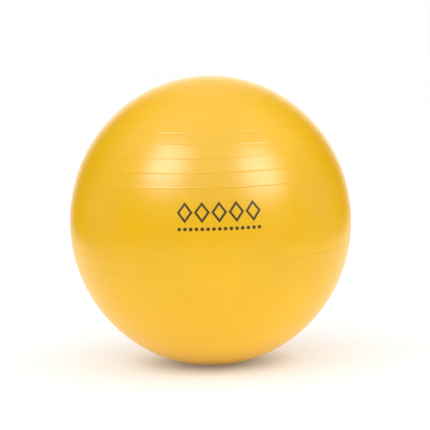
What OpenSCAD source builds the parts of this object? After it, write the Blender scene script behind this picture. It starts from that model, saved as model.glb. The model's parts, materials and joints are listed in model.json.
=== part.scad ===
// Inflatable exercise ball with raised grip ribs, a moulded-in port and a push-in air plug.
// It is inflated and stands on a floor. Sizes are millimetres and angles are degrees.
// Z is up and is the axis of the ribs, the floor is Z = 0, and the port faces +Y.

/* [Ball] */
// Height of the inflated ball on a floor
ball_h = 450; // [350:1:850]
// Width of the inflated ball across the smooth belt
ball_w = 440; // [340:1:830]
// Thickness of the stretched skin
skin_t = 1.1; // [0.8:0.1:2]
// Radius of the flat patch that the ball rests on
patch_r = 30; // [15:1:60]

/* [Grip ribs] */
// Angle of the first rib above the middle of the ball
belt_top = 20.1; // [10:0.1:40]
// Angle of the first rib below the middle of the ball
belt_bottom = 8.9; // [5:0.1:40]
// Angle from rib to rib above the smooth belt
pitch_above = 5.9; // [4:0.1:15]
// Angle from rib to rib below the smooth belt
pitch_below = 5.5; // [4:0.1:15]
// Highest angle that has a rib
last_above = 80; // [45:1:82]
// Lowest angle that has a rib
last_below = 76; // [45:1:78]
// Width of a rib across its foot
rib_w = 2.8; // [1.6:0.1:5]
// Height of a rib over the skin
rib_h = 0.35; // [0.2:0.05:1]

/* [Port] */
// Diameter of the neck's bore
bore_d = 8; // [6:0.1:9]
// Outer diameter of the neck
neck_d = 14; // [12:0.1:16]
// Length of the neck under the recess
neck_len = 22; // [14:1:30]
// Diameter of the neck's flange
flange_d = 26; // [22:1:34]
// Thickness of the neck's flange
flange_t = 1.5; // [1:0.1:3]

/* [Air plug] */
// Diameter of the plug's head
head_d = 18; // [16:0.5:24]
// Thickness of the plug's head
head_t = 2.2; // [1.5:0.1:4]
// Length of the plug's shank
shank_len = 24; // [16:1:34]
// Diameter of the shank between its barbs
core_d = 6.2; // [4:0.1:6.4]
// Number of barbs on the shank
barbs = 3; // [1:1:4]
// Running gap between the barbs and the bore, on the radius
slide_gap = 0.05; // [0.02:0.01:0.1]

/* [Hidden] */

skin_step = 1.6;        // largest angle between points of the outer outline
lining_step = 3;        // largest angle between points of the inner outline
soft = 1;               // height over which the wall rolls up off the floor
fine = 180;             // facets round the ball
small = 64;             // facets round the port's parts

half_w = ball_w / 2;
patch_share = 1 - sqrt(1 - pow(patch_r / half_w, 2));
half_h = (ball_h + soft) / (2 - patch_share);
middle_z = ball_h - half_h;
patch_angle = -acos(patch_r / half_w);

recess_gap = 0.5;                       // room round the plug's head
recess_d = head_d + 2 * recess_gap;
recess_t = head_t + 0.2;                // depth of the recess at its middle
seat_gap = 0.03;                        // gap under the plug's head
pad_floor = 1.5;                        // thickness of the skin under the recess
pad_wall = 3;                           // thickness of the skin round the recess
pad_flare = 4;                          // how much wider the pad is at the skin
edge = 0.6;                             // usual chamfer and round

port_angle = (belt_top - belt_bottom) / 2;
port_tilt = atan2(sin(port_angle) / half_h, cos(port_angle) / half_w);
port_y = half_w * cos(port_angle);
port_z = middle_z + half_h * sin(port_angle);

// ---- the ball's outline, by the angle above its middle ----

function on_ball(angle) = [half_w * cos(angle), middle_z + half_h * sin(angle)];

function outward(angle) =
    let (n = [cos(angle) / half_w, sin(angle) / half_h])
    n / norm(n);

// Rests the lowest part on the floor: flat, then a parabola, then the ball's own curve.
function settled(z) =
    z <= -soft ? 0 :
    z >= soft ? z :
    pow(z + soft, 2) / (4 * soft);

// A point of the wall, this far outside the smooth ball. The floor holds the wall's outer face.
function wall_point(angle, proud, inset = 0) =
    let (p = on_ball(angle) + outward(angle) * (proud - inset))
    [max(p[0], 0), settled(p[1] - inset) + inset];

ribs_below = [for (a = belt_bottom; a <= last_below; a = a + pitch_below) -a];
ribs_above = [for (a = belt_top; a <= last_above; a = a + pitch_above) a];
ribs = concat([for (i = [len(ribs_below) - 1 : -1 : 0]) ribs_below[i]], ribs_above);
rib_half = rib_w / 2 / half_w * 180 / PI;

// Height of a rib's rounded back, from its centre line at 0 to its foot at 1
function rib_back(share) = rib_h * (1 + cos(180 * share)) / 2;

function spaced(from, to, step) =
    let (n = ceil((to - from) / step))
    [for (i = [0 : n]) from + (to - from) * i / n];

function rib_outline(centre) =
    [for (share = [-0.5, 0, 0.5]) wall_point(centre + share * rib_half, rib_back(share))];

function smooth_outline(from, to) = [for (a = spaced(from, to, skin_step)) wall_point(a, 0)];

last = len(ribs) - 1;
outer_outline = concat(
    [[0, 0]],
    smooth_outline(patch_angle, ribs[0] - rib_half),
    [for (i = [0 : last - 1])
        each concat(rib_outline(ribs[i]), smooth_outline(ribs[i] + rib_half, ribs[i + 1] - rib_half))],
    rib_outline(ribs[last]),
    smooth_outline(ribs[last] + rib_half, 90)
);
inner_outline = [for (a = spaced(-90, 90, lining_step)) wall_point(-a, 0, skin_t)];

// ---- placing ----

// Puts its children at the port, with their Z pointing straight out of the skin.
module at_port() {
    translate([0, port_y, port_z]) rotate([port_tilt - 90, 0, 0]) children();
}

// ---- parts ----

module ball_skin() {
    pad_t = recess_t + pad_floor;
    pad_r = recess_d / 2 + pad_wall;
    color([0.96, 0.75, 0.15])
    difference() {
        union() {
            rotate_extrude($fn = fine) polygon(concat(outer_outline, inner_outline));
            at_port() translate([0, 0, -pad_t])
                cylinder(h = pad_t - skin_t, r1 = pad_r, r2 = pad_r + pad_flare, $fn = small);
        }
        at_port() translate([0, 0, -recess_t]) cylinder(h = 2 * recess_t, d = recess_d, $fn = small);
        at_port() translate([0, 0, -2 * pad_t]) cylinder(h = 2 * pad_t, d = neck_d, $fn = small);
    }
}

module valve_neck() {
    mouth = -recess_t;
    shoulder = -recess_t - pad_floor;
    foot = -recess_t - neck_len;
    bore_r = bore_d / 2;
    neck_r = neck_d / 2;
    color([0.9, 0.7, 0.2])
    at_port() rotate_extrude($fn = small) polygon([
        [bore_r + edge, mouth],
        [neck_r, mouth],
        [neck_r, shoulder],
        [flange_d / 2, shoulder],
        [flange_d / 2, shoulder - flange_t],
        [neck_r + edge, shoulder - flange_t],
        [neck_r, shoulder - flange_t - edge],
        [neck_r, foot + edge],
        [neck_r - edge, foot],
        [bore_r + edge, foot],
        [bore_r, foot + edge],
        [bore_r, mouth - edge],
    ]);
}

module valve_plug() {
    seat = -recess_t + seat_gap;
    tip = seat - shank_len;
    head_r = head_d / 2;
    core_r = core_d / 2;
    barb_r = bore_d / 2 - slide_gap;
    dome = 0.5;             // how far the middle of the head stands over its rim
    collar = 2;             // length of the plain stretch under the head
    land = 0.8;             // length of each barb's full width
    tip_r = 2;
    barb_pitch = (shank_len - collar) / (barbs + 0.5);
    nail_r = 1.6;           // radius of the fingernail notch in the rim

    color([0.95, 0.95, 0.93])
    at_port() difference() {
        rotate_extrude($fn = small) polygon(concat(
            [
                [0, seat + head_t],
                [head_r / 2, seat + head_t - dome / 4],
                [head_r - edge, seat + head_t - dome],
                [head_r, seat + head_t - dome - edge],
                [head_r, seat + edge / 2],
                [head_r - edge / 2, seat],
                [barb_r, seat],
                [barb_r, seat - collar],
            ],
            [for (i = [0 : barbs - 1]) each
                let (top = seat - collar - (i + 0.5) * barb_pitch)
                [
                    [core_r, top + edge],
                    [barb_r, top],
                    [barb_r, top - land],
                    [core_r, top - barb_pitch / 2 - land],
                ]
            ],
            [
                [core_r, tip + edge * 2],
                [tip_r, tip],
                [0, tip],
            ]
        ));
        translate([0, -head_r, seat]) sphere(r = nail_r, $fn = small);
    }
}

ball_skin();
valve_neck();
valve_plug();
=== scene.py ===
"""An inflatable exercise ball in a white studio: its ribbed vinyl skin, air port, plug and print.

Lengths are metres in the CAD frame. Z is up and is the axis of the ribs, the floor is Z = 0, and the
air port faces +Y. Angles are degrees above the middle of the ball. Turns are radians round Z from the
port, or round the port's own axis for its parts.
"""

import json
import math

import bpy
import numpy as np
from mathutils import Matrix, Vector


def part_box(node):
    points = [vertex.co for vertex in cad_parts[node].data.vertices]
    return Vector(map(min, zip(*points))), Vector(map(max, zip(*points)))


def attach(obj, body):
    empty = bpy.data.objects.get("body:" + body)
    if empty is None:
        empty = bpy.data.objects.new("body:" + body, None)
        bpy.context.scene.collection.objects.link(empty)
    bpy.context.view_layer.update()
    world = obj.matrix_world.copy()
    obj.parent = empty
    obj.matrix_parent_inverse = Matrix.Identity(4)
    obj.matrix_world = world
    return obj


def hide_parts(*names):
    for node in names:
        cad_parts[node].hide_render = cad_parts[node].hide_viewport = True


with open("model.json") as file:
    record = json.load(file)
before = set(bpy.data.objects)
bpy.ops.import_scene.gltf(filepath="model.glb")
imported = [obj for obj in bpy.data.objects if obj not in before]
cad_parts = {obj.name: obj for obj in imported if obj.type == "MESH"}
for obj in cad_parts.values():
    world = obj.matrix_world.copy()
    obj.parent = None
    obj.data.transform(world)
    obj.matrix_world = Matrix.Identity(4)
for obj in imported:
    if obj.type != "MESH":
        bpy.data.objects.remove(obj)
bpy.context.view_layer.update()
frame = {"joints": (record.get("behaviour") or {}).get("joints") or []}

MM = 0.001

# ---- driving dimensions, the same as the CAD model's ----

SKIN_T = 1.1 * MM
PATCH_R = 30 * MM  # flat patch on the floor
ROLL_UP = 1 * MM  # height over which the wall rolls up off the floor

BELT_TOP, BELT_BOTTOM = 20.1, 8.9
PITCH_ABOVE, PITCH_BELOW = 5.9, 5.5
LAST_ABOVE, LAST_BELOW = 80, 76
RIB_W, RIB_H = 2.8 * MM, 0.35 * MM

HEAD_R, HEAD_T = 9 * MM, 2.2 * MM
RECESS_R, RECESS_T = HEAD_R + 0.5 * MM, HEAD_T + 0.2 * MM
SEAT = -RECESS_T + 0.03 * MM  # height of the underside of the plug's head, in the port's frame
PAD_T, PAD_R, PAD_FLARE = RECESS_T + 1.5 * MM, RECESS_R + 3 * MM, 4 * MM
NECK_R, NECK_LEN = 7 * MM, 22 * MM
FLANGE_R, FLANGE_T = 13 * MM, 1.5 * MM
BORE_R, BARB_R, CORE_R = 4 * MM, 3.95 * MM, 3.1 * MM
SHANK_LEN, BARBS = 24 * MM, 3

# ---- the ball's shape, from its CAD box ----

skin_lo, skin_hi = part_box("ball_skin")
HALF_W = (skin_hi[0] - skin_lo[0]) / 2
TOP_Z = skin_hi[2]
HALF_H = (TOP_Z + ROLL_UP) / (1 + math.sqrt(1 - (PATCH_R / HALF_W) ** 2))
MIDDLE_Z = TOP_Z - HALF_H
PATCH_ANGLE = -math.degrees(math.acos(PATCH_R / HALF_W))
RIB_HALF = math.degrees(RIB_W / 2 / HALF_W)
PORT_ANGLE = (BELT_TOP - BELT_BOTTOM) / 2

# ---- how finely the pieces are meshed ----

COLUMNS = 216  # round the ball
ROW_STEP = 1.7  # largest angle between rows of plain skin
RIB_SHARES = (-1, -0.66, -0.33, 0, 0.33, 0.66, 1)  # rows across a rib, in half widths
SPOKES = 96  # round the port's parts


def wall(angle, proud=0.0, inset=0.0):
    """(radius, height) of the wall at an angle, proud of the smooth ball or inset from its outer face."""
    a = np.radians(angle)
    across, up = np.cos(a) / HALF_W, np.sin(a) / HALF_H
    size = np.hypot(across, up)
    r = HALF_W * np.cos(a) + (proud - inset) * across / size
    z = MIDDLE_Z + HALF_H * np.sin(a) + (proud - inset) * up / size - inset
    rolled = np.where(z < ROLL_UP, (z + ROLL_UP) ** 2 / (4 * ROLL_UP), z)
    return np.maximum(r, 0), np.where(z < -ROLL_UP, 0, rolled) + inset


def rib_angles():
    """The ribs' angles, from the lowest rib to the highest."""
    below = np.arange(BELT_BOTTOM, LAST_BELOW, PITCH_BELOW)
    above = np.arange(BELT_TOP, LAST_ABOVE, PITCH_ABOVE)
    return np.concatenate([-below[::-1], above])


def full_circle(count):
    """Evenly spaced turns, from 0."""
    return np.arange(count) * 2 * math.pi / count


# ---- meshes ----


class Shell:
    """Points and faces of one mesh, gathered ring by ring."""

    def __init__(self):
        self.points, self.faces, self.count = [], [], 0

    def add(self, points):
        """Adds points, and returns their numbers in the same shape."""
        points = np.asarray(points, float)
        ids = self.count + np.arange(points[..., 0].size).reshape(points.shape[:-1])
        self.points.append(points.reshape(-1, 3))
        self.count += ids.size
        return ids

    def grid(self, rings, flip=False, skip=None):
        """Quads between closed rings of points, apart from those that skip marks."""
        ids = np.concatenate([rings, rings[:, :1]], axis=1)
        quads = np.stack([ids[:-1, :-1], ids[:-1, 1:], ids[1:, 1:], ids[1:, :-1]], axis=-1)
        quads = quads.reshape(-1, 4) if skip is None else quads[~skip]
        self.faces += (quads[:, ::-1] if flip else quads).tolist()

    def fan(self, ring, centre, flip=False):
        """Triangles from a closed ring to one point."""
        for a, b in zip(ring, np.roll(ring, -1)):
            self.faces.append([int(b), int(a), int(centre)] if flip else [int(a), int(b), int(centre)])

    def stitch(self, outer, outer_turn, inner, inner_turn, flip=False):
        """Triangles between two closed rings of different counts, each sorted by its turn."""
        i = j = 0
        n, m = len(outer), len(inner)
        while i < n or j < m:
            next_outer = outer_turn[i % n] + 2 * math.pi * (i // n)
            next_inner = inner_turn[j % m] + 2 * math.pi * (j // m)
            a, b = int(outer[(i - 1) % n]), int(inner[(j - 1) % m])
            if j >= m or (i < n and next_outer <= next_inner):
                face = [a, int(outer[i % n]), b]
                i += 1
            else:
                face = [a, int(inner[j % m]), b]
                j += 1
            self.faces.append(face[::-1] if flip else face)

    def object(self, name, material):
        """The piece, smooth apart from its sharp edges, without the points that no face uses."""
        used = sorted({i for face in self.faces for i in face})
        number = {old: new for new, old in enumerate(used)}
        faces = [[number[i] for i in face] for face in self.faces]
        mesh = bpy.data.meshes.new(name)
        mesh.from_pydata(np.concatenate(self.points)[used].tolist(), [], faces)
        mesh.validate()
        mesh.materials.append(material)
        mesh.shade_smooth()
        mesh.set_sharp_from_angle(angle=math.radians(40))
        obj = bpy.data.objects.new(name, mesh)
        bpy.context.scene.collection.objects.link(obj)
        return obj


# ---- the port's own frame: its Z points straight out of the skin ----

PULL = Vector(frame["joints"][0]["axis"]).normalized()
port_r, port_z = wall(PORT_ANGLE)
port_tilt = Vector((0, 0, 1)).rotation_difference(PULL).to_matrix().to_4x4()
PORT = Matrix.Translation((0, float(port_r), float(port_z))) @ port_tilt
PORT_IN = PORT.inverted()


def to_port(points):
    """Points in the port's frame, from the CAD frame."""
    return points @ np.array(PORT_IN.to_3x3()).T + np.array(PORT_IN.translation)


def from_port(points):
    """Points in the CAD frame, from the port's frame."""
    return points @ np.array(PORT.to_3x3()).T + np.array(PORT.translation)


def port_ring(radius, height, turn):
    """A ring of points round the port's axis, given in the port's frame and returned in the CAD frame."""
    x, y = radius * np.cos(turn), radius * np.sin(turn)
    return from_port(np.stack([x, y, height + 0 * turn], axis=-1))


def skin_height(x, y):
    """Height of the ball's smooth outer face over a point of the port's plane, in the port's frame."""
    start = from_port(np.stack([x, y, 0 * x], axis=-1)) - np.array([0, 0, MIDDLE_Z])
    scale = np.array([HALF_W, HALF_W, HALF_H])
    p, d = start / scale, np.array(PULL) / scale
    a, b, c = (d * d).sum(), (p * d).sum(-1), (p * p).sum(-1) - 1
    return (-b + np.sqrt(b * b - a * c)) / a


# ---- the skin ----

LOWER_RIBS = 0.85  # height of the ribs below the belt over RIB_H, as the photo shows them fainter
PORT_HOLE = 22 * MM  # half width of the square hole in the grid round the port
PORT_MESH_R = 19 * MM  # radius of the round mesh that fills it


def ball_rows():
    """The skin's rows as (angle, rib number, share of the rib's half width). Rib -1 is plain skin."""
    ribs = rib_angles()
    ends = np.concatenate([[PATCH_ANGLE], ribs, [90]])
    foot = 1.3 * RIB_HALF  # where plain skin starts, beyond the reach of a rib that wanders
    rows = []
    for i, (low, high) in enumerate(zip(ends[:-1], ends[1:])):
        start = low + (foot if i else 0)
        stop = high - (foot if i < len(ribs) else 0)
        for angle in np.linspace(start, stop, math.ceil((stop - start) / ROW_STEP) + 1):
            rows.append((angle, -1, 0.0))
        if i < len(ribs):
            rows += [(high + share * RIB_HALF, i, share) for share in RIB_SHARES]
    return rows[:-1]


def uneven(turn, number, waves):
    """A slow wobble round the ball between about -1 and 1, different for each rib number."""
    phase = number * number
    return sum(np.sin(wave * turn + 2.4 * number * wave + phase) for wave in waves) / len(waves)


def skin_surface(shell, rows, turn, outer):
    """One face of the skin with its pole and floor patch. Returns the rim of the hole for the port."""
    angle = np.array([r[0] for r in rows])[:, None]
    rib = np.array([r[1] for r in rows])[:, None]
    share = np.array([r[2] for r in rows])[:, None]
    inset = 0 if outer else SKIN_T
    if outer:
        wander = np.where(rib >= 0, 0.25 * RIB_HALF * uneven(turn, rib, (3, 5, 11)), 0)
        full_height = RIB_H * np.where(angle < 0, LOWER_RIBS, 1)
        height = full_height * (0.85 + 0.15 * uneven(turn, rib + 7, (4, 9, 17)))
        proud = np.where(rib >= 0, height * (1 + np.cos(np.pi * share)) / 2, 0)
        radius, level = wall(angle + wander, proud)
    else:
        radius, level = wall(angle + 0 * turn, 0, inset)
    ids = shell.add(np.stack([radius * np.sin(turn), radius * np.cos(turn), level + 0 * turn], axis=-1))

    _, pole = wall(90, 0, inset)
    shell.fan(ids[-1], shell.add([[0, 0, pole]])[0], flip=outer)
    shell.fan(ids[0], shell.add([[0, 0, inset]])[0], flip=not outer)

    hole = PORT_HOLE / HALF_W
    near = np.flatnonzero(np.abs(turn) <= hole)
    level_rows = np.flatnonzero(np.abs(angle[:, 0] - PORT_ANGLE) <= math.degrees(hole))
    i0, i1, j0, j1 = level_rows[0], level_rows[-1], near[0], near[-1]
    skip = np.zeros((len(rows) - 1, len(turn)), bool)
    skip[i0:i1, j0:j1] = True
    shell.grid(ids, flip=outer, skip=skip)

    rim = np.concatenate([ids[i0, j0:j1], ids[i0:i1, j1], ids[i1, j1:j0:-1], ids[i1:i0:-1, j0]])
    local = to_port(np.concatenate(shell.points)[rim])
    around = np.arctan2(local[:, 1], local[:, 0]) % (2 * math.pi)
    order = np.argsort(around)
    return rim[order], around[order]


def port_wall(shell, outer_rim, inner_rim):
    """The recess, its rounded lip, the hole for the neck and the pad behind it, between the two faces."""
    turn = full_circle(SPOKES)
    lip, foot = 0.7 * MM, 0.4 * MM  # round edges at the top and the bottom of the recess's side
    hole_r, hole_edge = NECK_R + 0.05 * MM, 0.3 * MM

    def surface(radius, sink=0.0):
        height = skin_height(radius * np.cos(turn), radius * np.sin(turn))
        return port_ring(radius, height - sink, turn)

    rings = [surface(r) for r in (PORT_MESH_R, 16 * MM, 13.5 * MM, 11.5 * MM, 10.6 * MM)]
    for t in np.radians(np.linspace(0, 90, 6)):
        rings.append(surface(RECESS_R + lip * (1 - math.sin(t)), lip * (1 - math.cos(t))))
    for t in np.radians(np.linspace(0, 90, 5)):
        height = -RECESS_T + foot * (1 - math.sin(t))
        rings.append(port_ring(RECESS_R - foot * (1 - math.cos(t)), height, turn))
    rings += [port_ring(r, -RECESS_T, turn) for r in (NECK_R + hole_edge, hole_r)]
    rings += [port_ring(hole_r, h, turn) for h in (-RECESS_T - hole_edge, -PAD_T)]
    rings += [port_ring(r, -PAD_T, turn) for r in (PAD_R - 0.5 * MM, PAD_R)]
    rings += [surface(PAD_R + PAD_FLARE, SKIN_T), surface(PORT_MESH_R, SKIN_T)]

    ids = shell.add(np.stack(rings))
    shell.grid(ids)
    shell.stitch(*outer_rim, ids[0], turn)
    shell.stitch(*inner_rim, ids[-1], turn, flip=True)


def make_skin(material):
    rows = ball_rows()
    turn = full_circle(COLUMNS) - math.pi
    shell = Shell()
    outer_rim = skin_surface(shell, rows, turn, outer=True)
    rib_middles_and_plain = [r for r in rows if r[1] < 0 or r[2] == 0]
    inner_rim = skin_surface(shell, rib_middles_and_plain, turn, outer=False)
    port_wall(shell, outer_rim, inner_rim)
    return shell.object("skin", material)


# ---- the neck and the plug ----


def lathe(name, profile, material, shape=None):
    """A solid turned about the port's axis from (radius, height) points.

    The profile starts and ends on the axis, or it is a closed ring. shape moves the points.
    """
    turn = full_circle(SPOKES)
    shell = Shell()
    on_axis = profile[0][0] == 0
    body = np.array(profile[1:-1] if on_axis else profile)
    x, y = body[:, :1] * np.cos(turn), body[:, :1] * np.sin(turn)
    local = np.stack([x, y, body[:, 1:] + 0 * turn], axis=-1)
    if shape:
        local = shape(local)
    ids = shell.add(from_port(local))
    if on_axis:
        shell.grid(ids)
        ends = shell.add(from_port(np.array([[0, 0, profile[0][1]], [0, 0, profile[-1][1]]])))
        shell.fan(ids[0], ends[0], flip=True)
        shell.fan(ids[-1], ends[1])
    else:
        shell.grid(np.concatenate([ids, ids[:1]]))
    return shell.object(name, material)


def corner(centre, radius, start, stop, steps=5):
    """Points of a round corner, with its centre and radius, from one angle to another."""
    angles = np.radians(np.linspace(start, stop, steps))
    return [(centre[0] + radius * math.cos(a), centre[1] + radius * math.sin(a)) for a in angles]


def make_neck(material):
    mouth, shoulder = -RECESS_T, -PAD_T
    flange_under, foot = -PAD_T - FLANGE_T, -RECESS_T - NECK_LEN
    lead, soft = 0.6 * MM, 0.5 * MM  # round edges of the bore's ends and of the outside
    profile = [(NECK_R, mouth)]
    profile += corner((BORE_R + lead, mouth - lead), lead, 90, 180)
    profile += corner((BORE_R + lead, foot + lead), lead, 180, 270)
    profile += corner((NECK_R - soft, foot + soft), soft, -90, 0)
    profile += corner((NECK_R + soft, flange_under - soft), soft, 180, 90)
    profile += corner((FLANGE_R - soft, flange_under + soft), soft, -90, 0)
    profile += [(FLANGE_R, shoulder), (NECK_R, shoulder)]
    return lathe("neck", profile, material)


def nail_notch(local):
    """Lifts the rim of the plug's head on one side, so that a fingernail gets under it."""
    depth, fade, width, inner = 1.1 * MM, 1.3 * MM, 0.2, 0.78 * HEAD_R
    radius = np.hypot(local[..., 0], local[..., 1])
    turn = np.arctan2(local[..., 0], local[..., 1])
    under = np.clip((SEAT + fade - local[..., 2]) / fade, 0, 1)
    rim = np.clip((radius - inner) / (HEAD_R - inner), 0, 1)
    raised = local.copy()
    raised[..., 2] += depth * np.exp(-((turn / width) ** 2)) * under * rim
    in_head = local[..., 2] > SEAT - 0.01 * MM
    return np.where(in_head[..., None], raised, local)


def barb_profile(barb, pitch):
    """One barb of the shank, from its foot up to the core above it."""
    land, crest, back = 0.8 * MM, 0.3 * MM, 0.2 * MM
    profile = [(CORE_R, barb - pitch / 2 - land)]
    profile += corner((BARB_R - crest, barb - land + 0.1 * MM), crest, -30, 0, 3)
    profile += corner((BARB_R - back, barb - back), back, 0, 60, 3)
    profile += [(CORE_R, barb + 0.6 * MM)]
    return profile


def make_plug(material):
    tip, top = SEAT - SHANK_LEN, SEAT + HEAD_T
    blunt, soft, under_edge = 1.1 * MM, 0.5 * MM, 0.3 * MM  # round edges of the tip and the head
    dome, collar = 0.5 * MM, 2 * MM
    dimple_r, dimple = 1.6 * MM, 0.3 * MM  # gate mark in the middle of the head
    pitch = (SHANK_LEN - collar) / (BARBS + 0.5)

    profile = [(0, tip)]
    profile += corner((2 * MM - blunt, tip + blunt), blunt, -80, -10)
    profile += [(CORE_R, tip + 1.6 * MM)]
    for i in reversed(range(BARBS)):
        profile += barb_profile(SEAT - collar - (i + 0.5) * pitch, pitch)
    profile += [(CORE_R, SEAT - collar - 0.5 * MM), (BARB_R, SEAT - collar), (BARB_R, SEAT - 0.3 * MM)]
    profile += [(BARB_R + 0.2 * MM, SEAT)]
    profile += [(share * HEAD_R, SEAT) for share in (0.7, 0.8, 0.9)]
    profile += corner((HEAD_R - under_edge, SEAT + under_edge), under_edge, -90, 0, 4)
    profile += corner((HEAD_R - soft, top - dome - soft), soft, 0, 80)
    profile += [(0.7 * HEAD_R, top - 0.45 * dome), (0.35 * HEAD_R, top - 0.1 * dome)]
    profile += [(dimple_r, top), (1.2 * MM, top - 0.25 * MM)]
    profile += [(0.5 * MM, top - dimple), (0, top - dimple)]
    return lathe("plug", profile, material, shape=nail_notch)


# ---- the print: plain outlined lozenges over a row of dots ----

PRINT_ANGLE, PRINT_TURN = 9.3, math.radians(176.4)  # where its middle is
INK_T = 0.05 * MM


def on_skin(x, y, proud):
    """A point of the print, x to the right and y up along the skin from the print's middle."""
    level_radius, _ = wall(PRINT_ANGLE)
    turn = PRINT_TURN - x / level_radius
    radius, height = wall(PRINT_ANGLE + np.degrees(y / HALF_H), proud)
    return np.stack([radius * np.sin(turn), radius * np.cos(turn), height], axis=-1)


def ink_band(shell, outer, inner):
    """A closed stroke of ink between two outlines with the same number of points."""
    edges = [(outer, -INK_T), (outer, INK_T), (inner, INK_T), (inner, -INK_T)]
    ids = shell.add(np.stack([on_skin(line[:, 0], line[:, 1], proud) for line, proud in edges]))
    shell.grid(np.concatenate([ids, ids[:1]]))


def ink_disc(shell, x, y, radius):
    """A round dot of ink."""
    turn = full_circle(20)
    faces = (-INK_T, INK_T)
    ring_x, ring_y = x + radius * np.cos(turn), y + radius * np.sin(turn)
    rings = shell.add(np.stack([on_skin(ring_x, ring_y, proud) for proud in faces]))
    middles = shell.add(np.stack([on_skin(x, y, proud) for proud in faces]))
    shell.grid(rings)
    shell.fan(rings[1], middles[1])
    shell.fan(rings[0], middles[0], flip=True)


def lozenge(x, y, half_w, half_h):
    """Outline of a lozenge, with points along its sides so that it follows the ball."""
    corners = np.array([(half_w, 0), (0, half_h), (-half_w, 0), (0, -half_h), (half_w, 0)])
    steps = np.arange(8)[:, None] / 8
    sides = [start + (stop - start) * steps for start, stop in zip(corners, corners[1:])]
    return np.array([x, y]) + np.concatenate(sides)


def centred(count, pitch):
    """Places in a row of this many, centred on 0."""
    return [(i - (count - 1) / 2) * pitch for i in range(count)]


def make_print(material):
    stroke, half_w, half_h, lozenge_y = 3.4 * MM, 12 * MM, 16 * MM, 6 * MM
    dot_r, dot_y = 2.8 * MM, -19 * MM
    inside = 1 - stroke * math.hypot(half_w, half_h) / (half_w * half_h)
    shell = Shell()
    for x in centred(5, 26 * MM):
        outer = lozenge(x, lozenge_y, half_w, half_h)
        ink_band(shell, outer, lozenge(x, lozenge_y, half_w * inside, half_h * inside))
    for x in centred(15, 8.6 * MM):
        ink_disc(shell, x, dot_y, dot_r)
    return shell.object("print", material)


# ---- materials ----


def new_material(name, **values):
    """A material with a Principled shader. values are its sockets, by name with _ for spaces."""
    material = bpy.data.materials.new(name)
    material.use_nodes = True
    shader = material.node_tree.nodes["Principled BSDF"]
    for socket, value in values.items():
        shader.inputs[socket.replace("_", " ")].default_value = value
    return material, shader


def feed(owner, value, socket):
    """Sets a socket to a value, or links it to another node's output."""
    if isinstance(value, bpy.types.NodeSocket):
        owner.node_tree.links.new(value, socket)
    else:
        socket.default_value = value


def add(owner, kind, inputs=None, **settings):
    """A node of a material or world with some settings. inputs maps sockets to values or outputs."""
    node = owner.node_tree.nodes.new("ShaderNode" + kind)
    for key, value in settings.items():
        setattr(node, key, value)
    for socket, value in (inputs or {}).items():
        feed(owner, value, node.inputs[socket])
    return node


def noise(material, size, detail=3):
    """Noise over the object, with blobs of about this size in metres."""
    where = add(material, "TexCoord").outputs["Object"]
    inputs = {"Vector": where, "Scale": 1 / size, "Detail": detail}
    return add(material, "TexNoise", inputs).outputs["Fac"]


def spread(material, value, low=0.0, high=1.0):
    """Noise from its usual 0.3 to 0.7 spread over low to high."""
    inputs = {"Value": value, "From Min": 0.3, "From Max": 0.7, "To Min": low, "To Max": high}
    return add(material, "MapRange", inputs).outputs["Result"]


def blend(owner, factor, first, second):
    """A mix of two colours."""
    node = add(owner, "Mix", data_type="RGBA")
    sockets = {socket.name: socket for socket in node.inputs if socket.enabled}
    for name, value in (("Factor", factor), ("A", first), ("B", second)):
        feed(owner, value, sockets[name])
    return [socket for socket in node.outputs if socket.enabled][0]


def colour(r, g, b):
    """An opaque colour, from linear values."""
    return (r, g, b, 1.0)


def cloud(material, shader, size, first, second):
    """Gives the base colour soft clouds of two colours."""
    clouds = spread(material, noise(material, size))
    feed(material, blend(material, clouds, first, second), shader.inputs["Base Color"])


def roughen(material, shader, size, low, high):
    """Lets the roughness drift between low and high."""
    feed(material, spread(material, noise(material, size), low, high), shader.inputs["Roughness"])


def bump(material, shader, *layers):
    """Bump from layers of (height, depth in metres), the finest last."""
    normal = None
    for height, depth in layers:
        inputs = {"Height": height, "Distance": depth, "Strength": 1.0}
        if normal:
            inputs["Normal"] = normal
        normal = add(material, "Bump", inputs).outputs["Normal"]
    feed(material, normal, shader.inputs["Normal"])


def vinyl_material():
    """Glossy yellow PVC, a little cloudy, with the faint orange peel of a rotationally moulded skin."""
    material, shader = new_material("vinyl", IOR=1.5)
    clouds = spread(material, noise(material, 110 * MM))
    base = blend(material, clouds, colour(0.925, 0.517, 0.0025), colour(0.955, 0.537, 0.003))
    grain = spread(material, noise(material, 4 * MM, 2))
    specks = spread(material, grain, 0, 0.25)  # spread a second time, so that they are crisper
    base = blend(material, specks, base, colour(0.905, 0.497, 0.0025))
    feed(material, base, shader.inputs["Base Color"])
    roughen(material, shader, 50 * MM, 0.285, 0.32)
    peel, pores = noise(material, 9 * MM, 2), noise(material, 0.9 * MM, 2)
    bump(material, shader, (peel, 0.05 * MM), (pores, 0.01 * MM))
    return material


def neck_material():
    """The firmer PVC of the neck, duller and deeper than the skin."""
    material, shader = new_material("neck_vinyl", IOR=1.5)
    cloud(material, shader, 12 * MM, colour(0.80, 0.40, 0.012), colour(0.70, 0.34, 0.010))
    roughen(material, shader, 4 * MM, 0.42, 0.55)
    bump(material, shader, (noise(material, 2 * MM), 0.03 * MM))
    return material


def plug_material():
    """Off-white polyethylene, waxy, with faint flow marks."""
    waxy = {"Subsurface_Weight": 0.15, "Subsurface_Scale": 2 * MM}
    material, shader = new_material("polyethylene", IOR=1.51, **waxy)
    cloud(material, shader, 6 * MM, colour(0.80, 0.79, 0.75), colour(0.86, 0.86, 0.83))
    roughen(material, shader, 3 * MM, 0.34, 0.46)
    bump(material, shader, (noise(material, 1.2 * MM), 0.015 * MM))
    return material


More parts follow.
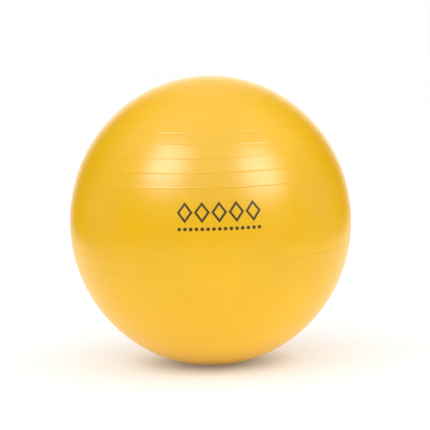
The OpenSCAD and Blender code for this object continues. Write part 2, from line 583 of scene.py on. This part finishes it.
def ink_material():
    """Screen-printed dark brown ink, thin enough to vary a little."""
    material, shader = new_material("ink", IOR=1.45)
    thin = spread(material, noise(material, 6 * MM, 4))
    base = blend(material, thin, colour(0.055, 0.034, 0.004), colour(0.085, 0.052, 0.006))
    feed(material, base, shader.inputs["Base Color"])
    roughen(material, shader, 3 * MM, 0.36, 0.48)
    bump(material, shader, (noise(material, 0.8 * MM, 2), 0.01 * MM))
    return material


# ---- the object ----

skin = make_skin(vinyl_material())
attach(skin, "ball")
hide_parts("ball_skin")

mark = make_print(ink_material())
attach(mark, "ball")

neck = make_neck(neck_material())
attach(neck, "ball")
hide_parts("valve_neck")

plug = make_plug(plug_material())
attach(plug, "plug")
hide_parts("valve_plug")

# ---- the studio ----

BALL_MIDDLE = Vector((0, 0, TOP_Z / 2))
LIGHT_DISTANCE = 1.9
WHITE, COOL = (1, 1, 1), (0.75, 0.77, 1)


def facing(azimuth, elevation):
    """The way out from the ball. Azimuth 0 is the camera's side, -Y, and is positive to the right."""
    a, e = math.radians(azimuth), math.radians(elevation)
    return Vector((math.sin(a) * math.cos(e), -math.cos(a) * math.cos(e), math.sin(e)))


def ramp(owner, value, start, stop, low, high):
    """A smooth step from low to high, as the value goes from start to stop."""
    inputs = {"Value": value, "From Min": start, "From Max": stop, "To Min": low, "To Max": high}
    return add(owner, "MapRange", inputs, interpolation_type="SMOOTHSTEP").outputs["Result"]


def make_floor():
    """A white floor that glows a little, so that it looks white, and less near the ball: a painted shadow.
    """
    half, near, far = 0.95, -1.0, 16
    # where and how far the glow dims near the ball: a painted shadow under it
    painted_shadow_reach, full_reach, painted_shadow_glow, full_glow = 0.04, 0.15, 0.12, 0.4
    mesh = bpy.data.meshes.new("floor")
    corners = [(-half, near, 0), (half, near, 0), (half, far, 0), (-half, far, 0)]
    mesh.from_pydata(corners, [], [(0, 1, 2, 3)])
    material, shader = new_material("floor_white", Roughness=0.9, Specular_IOR_Level=0.1)
    shader.inputs["Emission Color"].default_value = colour(*WHITE)
    shade = spread(material, noise(material, 0.6, 2))
    base = blend(material, shade, colour(0.58, 0.58, 0.58), colour(0.6, 0.6, 0.6))
    feed(material, base, shader.inputs["Base Color"])
    place = add(material, "TexCoord").outputs["Object"]
    reach = add(material, "VectorMath", {0: place}, operation="LENGTH").outputs["Value"]
    # painted shadow: the glow falls from full strength far out to its least at the ball's foot
    glow = ramp(material, reach, painted_shadow_reach, full_reach, painted_shadow_glow, full_glow)
    feed(material, glow, shader.inputs["Emission Strength"])
    mesh.materials.append(material)
    floor = bpy.data.objects.new("floor", mesh)
    bpy.context.scene.collection.objects.link(floor)


def softbox(name, azimuth, elevation, width, height, gloss, fill):
    """A soft light that faces the ball, as one lamp that the ball mirrors and one that lights its colour.

    gloss and fill are their strengths: power over the area and over pi. The mirrored one is cool,
    because the photo's highlights are nearly white.
    """
    out = facing(azimuth, elevation)
    for kind, strength, tint in (("gloss", gloss, COOL), ("fill", fill, WHITE)):
        light = bpy.data.lights.new(name + "_" + kind, "AREA")
        light.shape = "RECTANGLE"
        light.size, light.size_y = width, height
        light.energy = strength * math.pi * width * height
        light.color = tint
        obj = bpy.data.objects.new(light.name, light)
        obj.location = BALL_MIDDLE + out * LIGHT_DISTANCE
        obj.rotation_mode = "QUATERNION"
        obj.rotation_quaternion = out.to_track_quat("Z", "Y")
        obj.visible_diffuse = kind == "fill"
        obj.visible_glossy = kind == "gloss"
        bpy.context.scene.collection.objects.link(obj)


def combine(world, operation, *values):
    """Adds, multiplies or compares two or more values."""
    total = values[0]
    for value in values[1:]:
        total = add(world, "Math", {0: total, 1: value}, operation=operation).outputs[0]
    return total


def make_world():
    """What the ball mirrors: a scrim over it, a tall white backdrop behind it and a dim room in front.

    Each term is a smooth step along one axis of the direction. The camera itself sees plain white.
    """
    world = bpy.data.worlds.new("studio")
    world.use_nodes = True
    bpy.context.scene.world = world
    background = world.node_tree.nodes["Background"]
    way = add(world, "SeparateXYZ", {"Vector": add(world, "TexCoord").outputs["Generated"]})
    across = add(world, "Math", {0: way.outputs["X"]}, operation="ABSOLUTE").outputs[0]
    back, up = way.outputs["Y"], way.outputs["Z"]
    overhead = ramp(world, up, 0.2, 0.62, 0.01, 1.55)
    not_behind, not_beside = ramp(world, back, 0.15, 0.7, 1, 0.05), ramp(world, across, 0.35, 0.95, 1, 0.4)
    scrim = combine(world, "MULTIPLY", overhead, not_behind, not_beside)
    behind, narrow = ramp(world, back, 0.35, 0.6, 0, 0.7), ramp(world, across, 0.12, 0.4, 1, 0)
    strip = combine(world, "MULTIPLY", behind, narrow)
    backdrop = combine(world, "MAXIMUM", strip, ramp(world, back, 0.86, 0.96, 0, 1.5))
    room = ramp(world, back, -0.3, -0.9, 0, 0.3)
    light = combine(world, "ADD", scrim, backdrop, room)
    seen = add(world, "LightPath").outputs["Is Camera Ray"]
    feed(world, blend(world, seen, light, colour(*WHITE)), background.inputs["Color"])


def make_camera():
    """A long lens a little above the ball, rolled so that the ball's axis leans to the left."""
    distance, elevation, roll = 4.49, 7.9, math.radians(-1.5)
    aside, above = 7 * MM, 7 * MM
    out = facing(0, elevation)
    turn = out.to_track_quat("Z", "Y") @ Matrix.Rotation(roll, 3, "Z").to_quaternion()
    camera = bpy.data.cameras.new("camera")
    camera.lens = 240
    obj = bpy.data.objects.new("camera", camera)
    obj.rotation_mode = "QUATERNION"
    obj.rotation_quaternion = turn
    obj.location = BALL_MIDDLE + out * distance + turn @ Vector((aside, above, 0))
    bpy.context.scene.collection.objects.link(obj)
    bpy.context.scene.camera = obj


make_floor()
make_world()
softbox("key_left", -46, 43.5, width=0.84, height=0.98, gloss=9.8, fill=1.9)
softbox("key_right", 50, 36.5, width=0.88, height=1.02, gloss=9.2, fill=1.3)
softbox("panel_left", -45, 15, width=0.8, height=0.6, gloss=0.3, fill=1.5)
softbox("panel_right", 52, 7, width=1.0, height=0.9, gloss=0.8, fill=2.3)
softbox("side_left", -98, 6, width=1.2, height=1.0, gloss=0, fill=2.4)
softbox("side_right", 100, 6, width=1.2, height=1.0, gloss=0, fill=2.7)
make_camera()
bpy.context.scene.view_settings.view_transform = "Standard"
